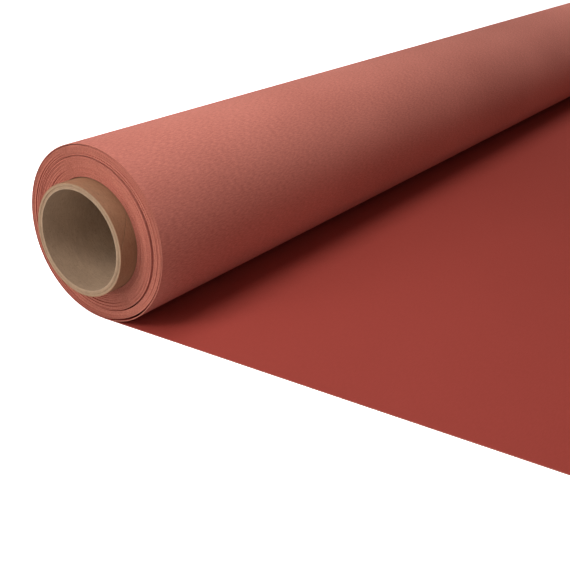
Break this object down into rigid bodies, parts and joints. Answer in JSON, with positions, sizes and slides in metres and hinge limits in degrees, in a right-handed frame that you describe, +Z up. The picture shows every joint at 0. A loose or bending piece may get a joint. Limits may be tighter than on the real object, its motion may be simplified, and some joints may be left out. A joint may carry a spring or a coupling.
{
  "type": "cloth roll",
  "caption": "Wide roll of matte copper-red coated cloth on a paperboard core, with its free end run out flat.",
  "frame": {"origin": "on the core's axis, at mid-width of the web", "axes": "+Y along the core's axis, +X towards the web's free end, +Z up; the floor is one roll radius (67.4 mm) below the origin"},
  "size_m": [0.6674, 1.53, 0.1348],
  "materials": {
    "coated_cloth": "matte coated weave, copper red, the same through its thickness",
    "core_board": "raw brown kraft board, spiral wound",
    "cloth_tape": "double-sided cloth tape, off-white"
  },
  "bodies": {
    "floor_sheet": {"free_sheet": "coated_cloth"},
    "loose_turn": {"outer_turn": "coated_cloth"},
    "roll": {"outer_turns": "coated_cloth", "inner_turns": "coated_cloth", "starter_tape": "cloth_tape", "core_wrap_ply": "core_board", "core_body_plies": "core_board", "core_liner_ply": "core_board"}
  },
  "joints": [
    {"name": "roll_travel", "type": "slide", "parent": "floor_sheet", "child": "loose_turn", "axis": [1, 0, 0], "range_m": [0, 0.423], "deforming": ["free_sheet"]},
    {"name": "roll_turn", "type": "hinge", "parent": "loose_turn", "child": "roll", "pos_m": [0, 0, 0], "axis": [0, 1, 0], "range_deg": [0, 360]}
  ],
  "couplings": [
    {"joint": "roll_turn", "follows": "roll_travel", "rad_per_m": 14.837}
  ]
}
